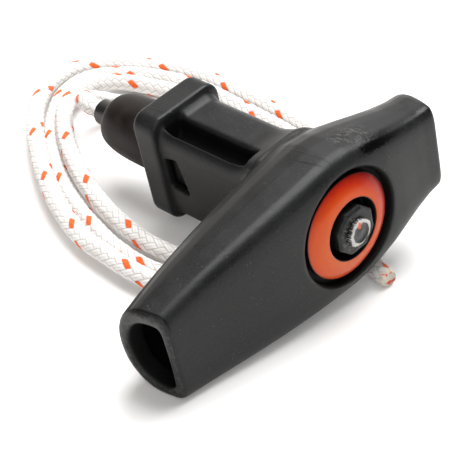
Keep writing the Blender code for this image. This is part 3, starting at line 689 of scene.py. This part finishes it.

# %% [markdown]
# ## Label ring
# The ring is a resin dome over a printed film; its colour grows from orange in the middle to dark red at the
# rim and a little redder on one side.
# Its profile is a quarter of a sine from the rim up to the hole, turned about the rope.
# The print itself is left plain.

# %% Label ring
LABEL_RADIUS = 13.2 * MM
LABEL_HOLE = 7.75 * MM
LABEL_DOME = 1.85 * MM
LABEL_BACK = 1.7 * MM

span = np.linspace(0, 1, 20)
dome = np.stack([
    LABEL_RADIUS - 0.25 * MM - (LABEL_RADIUS - LABEL_HOLE - 0.5 * MM) * span,
    -LABEL_DOME * np.sin(0.5 * np.pi * span) ** 0.9,
], 1)
inner_lip = np.array([
    (LABEL_HOLE + 0.06 * MM, 0.1 * MM - LABEL_DOME), (LABEL_HOLE, 0.35 * MM - LABEL_DOME),
])
outer_lip = np.array([(LABEL_RADIUS, 0.3 * MM), (LABEL_RADIUS - 0.06 * MM, 0.08 * MM)])
backs = np.array([(LABEL_HOLE, LABEL_BACK), (LABEL_RADIUS, LABEL_BACK)])
label_rings = turned_rings(np.vstack([dome, inner_lip, backs, outer_lip]), 128)
label = grid_piece("label_dome", label_rings, wrap=True)
label.data.set_sharp_from_angle(angle=math.radians(50))
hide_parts("label_ring")
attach(label, "grip")

resin, tree, shader = new_finish("orange_resin", Coat_Roughness=0.08, Specular_IOR_Level=0.14)
bar_x, rope_y, up_z = handle_place(tree)
out = from_rope(bar_x, up_z)
spread = (out - LABEL_HOLE) * (1.0 / (LABEL_RADIUS - LABEL_HOLE))
# The colour runs from orange at the hole to dark red at the rim, and a little redder towards +x and +z.
share = spread * 0.72 + (bar_x * 1.1 + up_z * 0.7) * (0.25 / LABEL_RADIUS) + 0.10
ring_colour = node(tree, "ShaderNodeValToRGB", {"stops": (
    (0.0, (0.62, 0.100, 0.012)), (0.45, (0.60, 0.074, 0.009)),
    (0.78, (0.44, 0.020, 0.005)), (1.0, (0.30, 0.007, 0.004)),
)}, share)
at = place_of(tree)
mottled = noise(tree, at, 1.2 * MM, 2.0)
ring_colour = mix_colour(tree, curve(tree, mottled, 0.35, 0.65) * 0.12, ring_colour, (0.50, 0.05, 0.01))
red_rim = curve(tree, out, LABEL_RADIUS - 0.45 * MM, LABEL_RADIUS - 0.12 * MM)
wall = curve(tree, out, LABEL_RADIUS - 0.16 * MM, LABEL_RADIUS - 0.08 * MM)
wall = wall + fade(tree, out, LABEL_HOLE + 0.18 * MM, LABEL_HOLE + 0.32 * MM)
ring_colour = mix_colour(tree, red_rim * 0.7, ring_colour, (0.09, 0.006, 0.006))
ring_colour = mix_colour(tree, wall, ring_colour, (0.006, 0.006, 0.006))
feed(tree, shader, Base_Color=ring_colour, Roughness=curve(tree, mottled, 0.3, 0.7, 0.30, 0.40),
     Coat_Weight=curve(tree, bar_x, -3.0 * MM, 6.0 * MM, 0.26, 0.03),
     Normal=bump(tree, noise(tree, at, 3.0 * MM, 1.0), 0.02 * MM))
label.data.materials.append(resin)
print("label ring:", len(label.data.polygons), "faces")

# %% [markdown]
# ## Rope anchor
# Pulling the rope draws this eight-sided head against the damper. Its flats are cut into a
# round bar, so the corners are short arcs. The section is a circle limited by eight planes, and
# its front edge is chamfered.

# %% Rope anchor
ANCHOR_FACE = -3.0 * MM
ANCHOR_HEAD = 8.0 * MM
ANCHOR_APOTHEM = 5.8 * MM
ANCHOR_FLANGE = 2.4 * MM
ANCHOR_FLANGE_RADIUS = 7.1 * MM
ANCHOR_HOLE = 2.85 * MM


def octagon_ring(run, inset=0.0, steps=160):
    """Eight flats: the radius is the apothem over the cosine of the angle from its flat, capped."""
    angle = np.linspace(0, 2 * np.pi, steps, endpoint=False)
    wedge = 2 * np.pi / 8
    off = (angle + wedge / 2) % wedge - wedge / 2
    radius = np.minimum(ANCHOR_APOTHEM / np.cos(off), ANCHOR_APOTHEM * 1.072) - inset
    return round_ring(radius, run, steps)


def round_ring(radius, run, steps=160):
    """A ring about the rope, from one radius or from one for each step."""
    angle = np.linspace(0, 2 * np.pi, steps, endpoint=False)
    return np.stack([radius * np.cos(angle), np.full(steps, run), radius * np.sin(angle)], 1)


back = ANCHOR_FACE + ANCHOR_HEAD
anchor_rings = [
    round_ring(ANCHOR_HOLE, ANCHOR_FACE + 0.3 * MM),
    round_ring(ANCHOR_HOLE + 0.3 * MM, ANCHOR_FACE),
    octagon_ring(ANCHOR_FACE, 1.9 * MM),
    octagon_ring(ANCHOR_FACE, 0.75 * MM),
    octagon_ring(ANCHOR_FACE + 0.10 * MM, 0.5 * MM),
    octagon_ring(ANCHOR_FACE + 0.55 * MM, 0.05 * MM),
    octagon_ring(ANCHOR_FACE + 0.75 * MM),
    octagon_ring(back - 0.2 * MM),
    round_ring(ANCHOR_APOTHEM * 1.08, back),
    round_ring(ANCHOR_FLANGE_RADIUS - 0.2 * MM, back),
    round_ring(ANCHOR_FLANGE_RADIUS, back + 0.2 * MM),
    round_ring(ANCHOR_FLANGE_RADIUS, back + ANCHOR_FLANGE),
    round_ring(ANCHOR_HOLE, back + ANCHOR_FLANGE),
]
anchor = grid_piece("octagon_anchor", to_world(np.array(anchor_rings)), wrap=True)
anchor.data.set_sharp_from_angle(angle=math.radians(22))
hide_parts("rope_anchor")
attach(anchor, "rope")

grey, tree, shader = new_finish("anchor_grey_plastic", Specular_IOR_Level=0.25)
at = place_of(tree)
bar_x, rope_y, up_z = handle_place(tree)
wear = noise(tree, at, 1.4 * MM, 3.0, 0.6)
shade = mix_colour(tree, curve(tree, wear, 0.35, 0.68), (0.008, 0.0085, 0.009), (0.018, 0.0185, 0.019))
out = from_rope(bar_x, up_z)
ticks = curve(tree, spokes(tree, bar_x, up_z, 0.13), 0.56, 0.63)
ticks = ticks * fade(tree, out, 4.3 * MM, 5.3 * MM) * fade(tree, bar_x, -0.5 * MM, 1.5 * MM)
shade = mix_colour(tree, ticks * 0.8, shade, (0.24, 0.23, 0.22))
# The sides of the head behind its front face get painted shade, near black.
behind = curve(tree, rope_y, ANCHOR_FACE + 0.5 * MM, ANCHOR_FACE + 1.4 * MM)
shade = mix_colour(tree, behind, shade, (0.006, 0.006, 0.006))
feed(tree, shader, Base_Color=shade, Roughness=curve(tree, wear, 0.3, 0.7, 0.28, 0.42),
     Normal=bump(tree, noise(tree, at, 0.3 * MM, 2.0), 0.012 * MM))
anchor.data.materials.append(grey)
print("anchor:", len(anchor.data.polygons), "faces")

# %% [markdown]
# ## Nose sleeve and guide tip
# The nose is a rubber sleeve with a rounded end that keeps the knock of the grip off the
# starter cover. A small hard tube in its end guides the rope. Both are turned profiles.

# %% Nose sleeve
NOSE_START = 58.9 * MM
NOSE_RADIUS = 8.6 * MM
NOSE_STRAIGHT = 9.1 * MM
NOSE_LENGTH = 20.9 * MM
NOSE_END_RADIUS = 6.6 * MM
SHANK_RADIUS = 7.6 * MM
SHANK_START = 42.3 * MM
TIP_RADIUS = 3.5 * MM
TIP_HOLE = 2.85 * MM
TIP_REACH = 7.0 * MM
TIP_DEPTH = 9.5 * MM
TIP_SEAT_RADIUS = 3.8 * MM
TIP_SEAT_DEPTH = 9.8 * MM
NOSE_HOLE = 3.2 * MM

rise = np.sin(0.5 * np.pi * np.linspace(0, 1, 24))
ogive = np.stack([
    NOSE_END_RADIUS + (NOSE_RADIUS - NOSE_END_RADIUS) * np.sqrt(np.clip(1 - rise ** 2, 0, 1)),
    NOSE_START + NOSE_STRAIGHT + (NOSE_LENGTH - NOSE_STRAIGHT) * rise,
], 1)
nose_end = NOSE_START + NOSE_LENGTH
lip = np.array([
    (NOSE_END_RADIUS - 0.25 * MM, nose_end), (4.6 * MM, nose_end), (3.95 * MM, nose_end - 0.15 * MM),
    (TIP_SEAT_RADIUS, nose_end - 0.5 * MM), (TIP_SEAT_RADIUS, nose_end - TIP_SEAT_DEPTH),
    (NOSE_HOLE, nose_end - TIP_SEAT_DEPTH), (NOSE_HOLE, SHANK_START), (SHANK_RADIUS, SHANK_START),
    (SHANK_RADIUS, NOSE_START), (NOSE_RADIUS - 0.5 * MM, NOSE_START),
    (NOSE_RADIUS - 0.14 * MM, NOSE_START + 0.14 * MM), (NOSE_RADIUS, NOSE_START + 0.5 * MM),
])
nose = grid_piece("rubber_nose", turned_rings(np.vstack([ogive, lip]), 112), wrap=True)
nose.data.set_sharp_from_angle(angle=math.radians(50))
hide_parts("nose_sleeve")
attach(nose, "grip")

# %% Snap lugs of the nose
def lug_rings(side):
    """A block that fills the snap window of the neck, as two rounded outlines joined."""
    corners = np.array([(45.7, -2.4), (49.7, -2.4), (49.7, 4.64), (46.66, 4.64)]) * MM
    outline = rounded(corners, 0.5 * MM)
    reach = (5.6 * MM, 8.1 * MM, 8.3 * MM)
    grow = (1.0, 1.0, 0.93)
    middle = outline.mean(0)
    rings = []
    for distance, scale in zip(reach, grow):
        flat = middle + (outline - middle) * scale
        rings.append(np.column_stack([np.full(len(flat), side * distance), flat]))
    return to_world(np.array(rings))


lugs = [
    grid_piece(name, lug_rings(side))
    for side, name in ((-1.0, "left_snap_lug"), (1.0, "right_snap_lug"))
]
for lug in lugs:
    lug.data.set_sharp_from_angle(angle=math.radians(40))
    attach(lug, "grip")

rubber, tree, shader = new_finish("brown_black_rubber", Specular_IOR_Level=0.20)
at = place_of(tree)
bloom = noise(tree, at, 5.0 * MM, 3.0)
dust = noise(tree, at, 0.7 * MM, 3.0, 0.65)
tone = mix_colour(tree, curve(tree, bloom, 0.35, 0.68), (0.0078, 0.0054, 0.0046), (0.0150, 0.0108, 0.0092))
tone = mix_colour(tree, curve(tree, dust, 0.60, 0.72) * 0.30, tone, (0.055, 0.044, 0.038))
bar_x, rope_y, up_z = handle_place(tree)
# Painted shade: the rubber less than 52 mm along the rope, which holds the snap lugs in their windows, is
# made near black.
tone = mix_colour(tree, fade(tree, rope_y, 52.0 * MM, 55.0 * MM), tone, (0.0008, 0.0008, 0.0008))
feed(tree, shader, Base_Color=tone, Roughness=curve(tree, bloom, 0.3, 0.7, 0.42, 0.56),
     Normal=bump(tree, dust, 0.03 * MM))
for piece in (nose, *lugs):
    piece.data.materials.append(rubber)
print("nose:", len(nose.data.polygons), "faces")

# %% Guide tip
tip_end = nose_end + TIP_REACH
tip_profile = np.array([
    (TIP_HOLE, nose_end - TIP_DEPTH), (TIP_RADIUS, nose_end - TIP_DEPTH), (TIP_RADIUS, tip_end - 0.45 * MM),
    (TIP_RADIUS - 0.08 * MM, tip_end - 0.15 * MM), (TIP_RADIUS - 0.3 * MM, tip_end),
    (TIP_HOLE + 0.15 * MM, tip_end), (TIP_HOLE, tip_end - 0.2 * MM),
])
tip = grid_piece("guide_tube", turned_rings(tip_profile, 80), wrap=True)
tip.data.set_sharp_from_angle(angle=math.radians(50))
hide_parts("guide_tip")
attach(tip, "grip")
hard, tree, shader = new_finish("hard_black_plastic")
at = place_of(tree)
smudges = mix_colour(tree, noise(tree, at, 2 * MM), (0.007, 0.0065, 0.0062), (0.015, 0.0135, 0.0125))
feed(tree, shader, Base_Color=smudges,
     Roughness=curve(tree, noise(tree, at, 1.2 * MM, 2.0), 0.3, 0.7, 0.28, 0.40),
     Normal=bump(tree, noise(tree, at, 0.4 * MM, 2.0), 0.01 * MM))
tip.data.materials.append(hard)
print("tip:", len(tip.data.polygons), "faces")

# %% [markdown]
# ## Braided rope
# The rope has sixteen yarns, eight wound each way, and each passes over two and under two.
# With v round the rope and t along it in turns, one family keeps p = 8(v - t) and the other
# q = 8(v + t). The cell of whole p and q tells which family lies on top, and the place inside
# it gives the bulge of the yarn. One yarn is orange.

# %% Braid as numbers
YARNS_EACH_WAY = 8
TURN_LENGTH = 22.0 * MM


def braid_relief(around, turns):
    """Height from 0 to 1 of a two-over-two braid: an arch across each yarn times one along its float."""
    p = YARNS_EACH_WAY * (around - turns)
    q = YARNS_EACH_WAY * (around + turns)
    first_on_top = (np.floor(p) + np.floor(q)) % 4 < 2
    across = np.where(first_on_top, p % 1.0, q % 1.0)
    along = np.where(first_on_top, ((q + np.floor(p)) % 4) / 2, ((p + np.floor(q)) % 4 - 2) / 2)
    along = np.clip(along, 0, 1)
    arch = np.sqrt(np.clip(1 - (2 * across - 1) ** 2, 0, 1))
    return arch * np.sin(np.pi * along) ** 0.45


def carried_frames(line):
    """Two directions square to a line that turn as little as possible from point to point."""
    tangent = np.gradient(line, axis=0)
    tangent /= np.linalg.norm(tangent, axis=1)[:, None]
    side = np.cross(tangent[0], (0.0, 0.0, 1.0))
    side /= np.linalg.norm(side)
    sides = [side]
    for now in tangent[1:]:
        side = side - now * side.dot(now)
        side /= np.linalg.norm(side)
        sides.append(side)
    sides = np.array(sides)
    return sides, np.cross(tangent, sides)


def braided_tube(name, line, diameter, around=48, melt=0.0):
    """A tube along a line whose radius follows the braid, with a UV map of turns and way round."""
    sides, ups = carried_frames(line)
    run = np.r_[0, np.cumsum(np.linalg.norm(np.diff(line, axis=0), axis=1))]
    v = np.arange(around) / around
    relief = braid_relief(v[None, :], run[:, None] / TURN_LENGTH)
    radius = 0.5 * diameter * (0.885 + 0.115 * relief)
    if melt:
        rounding = np.clip((run[-1] - run) / melt, 0, 1)[:, None]
        radius = radius * (0.80 + 0.20 * np.sqrt(np.clip(1 - (1 - rounding) ** 2, 0, 1)))
    angle = 2 * np.pi * v
    out = np.cos(angle)[None, :, None] * sides[:, None] + np.sin(angle)[None, :, None] * ups[:, None]
    tube = grid_piece(name, line[:, None] + radius[..., None] * out)
    write_rope_map(tube.data, run, around)
    return tube


def write_rope_map(mesh, run, around):
    """UV per face corner: u is the run in turns and v the share of the way round, 1 at the seam."""
    corners = np.empty(len(mesh.loops), np.int32)
    mesh.loops.foreach_get("vertex_index", corners)
    starts = np.empty(len(mesh.polygons), np.int32)
    totals = np.empty(len(mesh.polygons), np.int32)
    mesh.polygons.foreach_get("loop_start", starts)
    mesh.polygons.foreach_get("loop_total", totals)
    ring = np.minimum(corners // around, len(run) - 1)
    way = (corners % around) / around
    face = np.repeat(np.arange(len(starts)), totals)
    highest = np.zeros(len(starts))
    np.maximum.at(highest, face, way)
    way = np.where((way == 0) & (highest[face] > 0.5), 1.0, way)
    layer = mesh.uv_layers.new(name="rope_map")
    layer.data.foreach_set("uv", np.column_stack([run[ring] / TURN_LENGTH, way]).astype(np.float32).ravel())


free_rope = braided_tube("braided_rope", rope_line, ROPE_DIAMETER, melt=2.2 * MM)
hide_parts("starter_rope")
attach(free_rope, "rope")
print("free rope:", len(free_rope.data.polygons), "faces")

# %% Rope inside the handle, with its melted end
KNOB_RADIUS = 3.7 * MM
inner_run = np.linspace(ANCHOR_FACE + 0.2 * MM, ROPE_START - 0.3 * MM, 118)
inner_line = to_world(np.column_stack([0 * inner_run, inner_run, 0 * inner_run]))
inner_rope = braided_tube("rope_in_handle", inner_line, ROPE_DIAMETER)
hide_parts("inner_rope")
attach(inner_rope, "rope")


def melted_knob():
    """A flattened blob with a dished middle; its radius waves a little, as melted fibre sets."""
    angle = np.linspace(0, 2 * np.pi, 96, endpoint=False)
    wave = 1 + 0.05 * np.sin(2 * angle + 0.6) + 0.035 * np.sin(3 * angle + 2.0) + 0.02 * np.sin(7 * angle)
    profile = (
        (0.80, 0.0), (0.98, -0.08), (1.0, -0.45), (0.96, -0.85), (0.88, -1.15), (0.78, -1.32),
        (0.68, -1.30), (0.60, -1.10), (0.50, -1.02), (0.34, -1.16), (0.18, -1.26), (0.05, -1.30),
    )
    rows = []
    for out, run in profile:
        radius = (KNOB_RADIUS - 0.2 * MM) * out * (1 + (wave - 1) * min(1.0, out + 0.1))
        run = np.full(len(angle), ANCHOR_FACE - 0.05 * MM + run * MM)
        rows.append(np.stack([radius * np.cos(angle), run, radius * np.sin(angle)], 1))
    return to_world(np.array(rows))


knob = grid_piece("melted_rope_end", melted_knob())
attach(knob, "rope")
print("knob:", len(knob.data.polygons), "faces")

# %% [markdown]
# ## Braid colours
# The shader repeats the sums of the mesh on the rope's own UV map, so colour and relief agree.
# The yarn whose count is 0 of 8 is orange. Each yarn is a pair of strands, and fine lines
# stand for its filaments, and the valleys between yarns get painted shade.

# %% Braid finish
def whole(wire):
    """The whole number below a wire."""
    return wire.maths("FLOOR", wire)


def left_over(wire, size):
    """The rest after division by a size, never below 0."""
    return wire.maths("FLOORED_MODULO", wire, size)


def braid_finish(name, fibre, cut_at=None):
    """The rope's material on its UV map, with a melted end beyond cut_at turns."""
    finish, tree, shader = new_finish(name, Sheen_Weight=0.10, Sheen_Roughness=0.5, Specular_IOR_Level=0.30)
    flat = node(tree, "ShaderNodeUVMap", {"uv_map": "rope_map"})
    turns = node(tree, "ShaderNodeSeparateXYZ", {}, flat, output="X")
    around = node(tree, "ShaderNodeSeparateXYZ", {}, flat, output="Y")
    p = (around - turns) * float(YARNS_EACH_WAY)
    q = (around + turns) * float(YARNS_EACH_WAY)
    row_p, row_q = whole(p), whole(q)
    kind = left_over(row_p + row_q, 4.0)
    first_on_top = kind.maths("LESS_THAN", kind, 1.5)
    second_on_top = 1.0 - first_on_top
    across = first_on_top * (p - row_p) + second_on_top * (q - row_q)
    first_along = left_over(q + row_p, 4.0) / 2.0
    second_along = (left_over(p + row_q, 4.0) - 2.0) / 2.0
    along = first_on_top * first_along + second_on_top * second_along
    off_middle = across * 2.0 - 1.0
    arch = 1.0 - off_middle * off_middle
    ends = along * (1.0 - along) * 4.0
    twin = curve(tree, off_middle * off_middle, 0.0, 0.07)
    body = curve(tree, arch, 0.0, 0.55) * curve(tree, ends, 0.0, 0.42) * (twin * 0.35 + 0.65)
    at = place_of(tree)
    fuzz = noise(tree, at, 0.5 * MM, 3.0, 0.7)
    filament = node(tree, "ShaderNodeMath", {"operation": "SINE"}, across * 38.0 + fuzz * 7.0)
    soil = noise(tree, at, 7.0 * MM, 2.0)
    white = mix_colour(tree, curve(tree, soil, 0.35, 0.7), fibre[0], fibre[1])
    # Painted shade: the valleys between yarns and the ends of each float are darkened towards the third
    # colour.
    colour = mix_colour(tree, (1.0 - body) * 0.8, white, fibre[2])
    family = left_over(row_p, float(YARNS_EACH_WAY))
    is_orange = family.maths("LESS_THAN", family, 0.5) * first_on_top
    patch = is_orange * curve(tree, arch * ends + (fuzz - 0.5) * 0.14, 0.02, 0.12)
    flame = mix_colour(tree, curve(tree, fuzz, 0.35, 0.65), (0.76, 0.080, 0.008), (0.86, 0.165, 0.026))
    colour = mix_colour(tree, patch, colour, flame)
    if cut_at is not None:
        spots = noise(tree, at, 1.6 * MM, 2.0)
        melted_end = mix_colour(tree, curve(tree, spots, 0.56, 0.62), (0.74, 0.68, 0.58), (0.80, 0.09, 0.03))
        colour = mix_colour(tree, curve(tree, turns, cut_at - 0.06, cut_at), colour, melted_end)
    relief = body * 0.5 + filament * 0.10 + fuzz * 0.25
    feed(tree, shader, Base_Color=colour, Roughness=curve(tree, fuzz, 0.3, 0.7, 0.68, 0.86),
         Normal=bump(tree, relief, 0.16 * MM))
    return finish


# Two fibre whites, then the colour of the painted shade in the valleys.
bright = ((0.88, 0.862, 0.845), (0.81, 0.785, 0.76), (0.52, 0.485, 0.46))
rope_end = (rope_length - 0.8 * MM) / TURN_LENGTH
free_rope.data.materials.append(braid_finish("white_orange_braid", bright, rope_end))
inner_rope.data.materials.append(braid_finish("white_orange_braid_inside", bright))

melted, tree, shader = new_finish("melted_fibre")
at = place_of(tree)
bar_x, rope_y, up_z = handle_place(tree)
out = from_rope(bar_x, up_z)
blobs = noise(tree, at, 0.8 * MM, 4.0, 0.7)
rough_out = out + (blobs - 0.5) * (0.9 * MM)
rough_run = rope_y - ANCHOR_FACE + (blobs - 0.5) * (1.0 * MM)
strands = spokes(tree, bar_x, up_z, 0.10)
crest = curve(tree, rough_out, 2.45 * MM, 2.70 * MM) * fade(tree, rough_run, -1.15 * MM, -0.85 * MM)
fray = curve(tree, strands, 0.55, 0.63) * curve(tree, rough_out, 2.9 * MM, 3.1 * MM)
pale = curve(tree, crest + fray * 0.7, 0.0, 1.0) * curve(tree, blobs, 0.26, 0.46)
melt_colour = mix_colour(tree, pale, (0.020, 0.021, 0.022), (0.56, 0.545, 0.52))
red_x = (bar_x + 0.1 * MM) * (1.0 / (0.8 * MM)) + (blobs - 0.5)
red_z = (up_z - 2.1 * MM) * (1.0 / (1.0 * MM))
red = fade(tree, red_x * red_x + red_z * red_z, 0.5, 1.1)
melt_colour = mix_colour(tree, red * 0.9, melt_colour, (0.72, 0.09, 0.03))
feed(tree, shader, Base_Color=melt_colour, Roughness=curve(tree, pale, 0.0, 1.0, 0.25, 0.45),
     Normal=bump(tree, blobs, 0.20 * MM))
knob.data.materials.append(melted)
print("braid finishes:", [m.name for m in bpy.data.materials if "braid" in m.name])

# %% [markdown]
# ## Pieces inside
# The washer and the damper sleeve sit inside the neck, where they show only in a cut view. They
# keep their solids' shape and get a finish of their own.

# %% Washer and damper
steel, tree, shader = new_finish("plain_steel", Metallic=1.0)
at = place_of(tree)
brushed = noise(tree, at, 0.6 * MM, 3.0)
feed(tree, shader, Base_Color=mix_colour(tree, brushed, (0.42, 0.42, 0.43), (0.60, 0.60, 0.61)),
     Roughness=curve(tree, brushed, 0.3, 0.7, 0.3, 0.45), Normal=bump(tree, brushed, 0.01 * MM))
soft, tree, shader = new_finish("matt_black_rubber")
at = place_of(tree)
skin = noise(tree, at, 0.8 * MM, 3.0)
feed(tree, shader, Base_Color=mix_colour(tree, skin, (0.018, 0.018, 0.018), (0.034, 0.033, 0.032)),
     Roughness=curve(tree, skin, 0.3, 0.7, 0.6, 0.75), Normal=bump(tree, skin, 0.03 * MM))
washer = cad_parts["pressure_washer"]
washer.data.materials.clear()
washer.data.materials.append(steel)

# The anchor and the washer come in by 6 mm when the rope is pulled; here the damper is only copied, and how
# far each corner lies along the rope is worked out but not used.
damper_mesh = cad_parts["damper_sleeve"].data.copy()
damper_mesh.materials.clear()
damper = bpy.data.objects.new("rubber_damper", damper_mesh)
scene.collection.objects.link(damper)
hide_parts("damper_sleeve")
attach(damper, "grip")
damper_mesh.materials.append(soft)
rope_way = handle_turn[:, 1]
along = mesh_points(damper_mesh) @ rope_way
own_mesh(damper)
print("inside pieces finished")

# %% Boxes and finish
shown_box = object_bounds()
sizes = {"solids": [list(corner) for corner in solid_box], "shown": [list(corner) for corner in shown_box]}
print("sizes in mm:", {k: [round(1000 * (b - a), 1) for a, b in zip(*v)] for k, v in sizes.items()})
